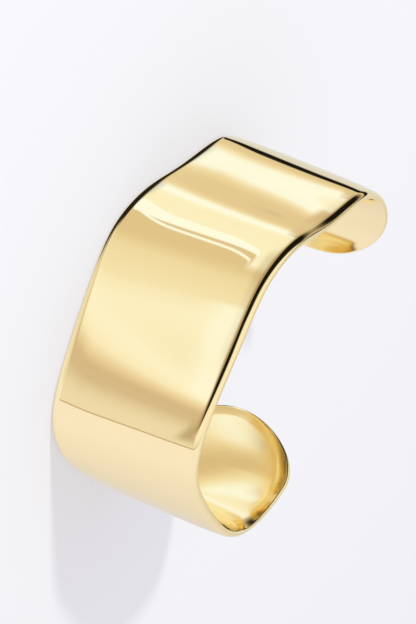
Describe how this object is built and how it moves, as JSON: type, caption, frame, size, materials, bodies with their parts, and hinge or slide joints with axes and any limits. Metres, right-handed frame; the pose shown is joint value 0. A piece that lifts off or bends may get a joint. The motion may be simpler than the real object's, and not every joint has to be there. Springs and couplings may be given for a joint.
{
  "type": "cuff bracelet",
  "caption": "Wide open cuff bracelet of polished gold, a plain curved band with a soft hollow in its upper back and rounded ends.",
  "frame": {"origin": "centre of the bounding box's bottom face, on the surface that the far rim rests on", "axes": "+Z along the wrist, up as the cuff lies on its side; -X towards the back of the cuff and +X towards its gap; +Y towards the arm with the longer rounded end"},
  "size_m": [0.0532, 0.0616, 0.0286],
  "materials": {
    "polished_gold": "mirror polished yellow gold"
  },
  "bodies": {
    "root": {"cuff": "polished_gold"}
  },
  "joints": []
}
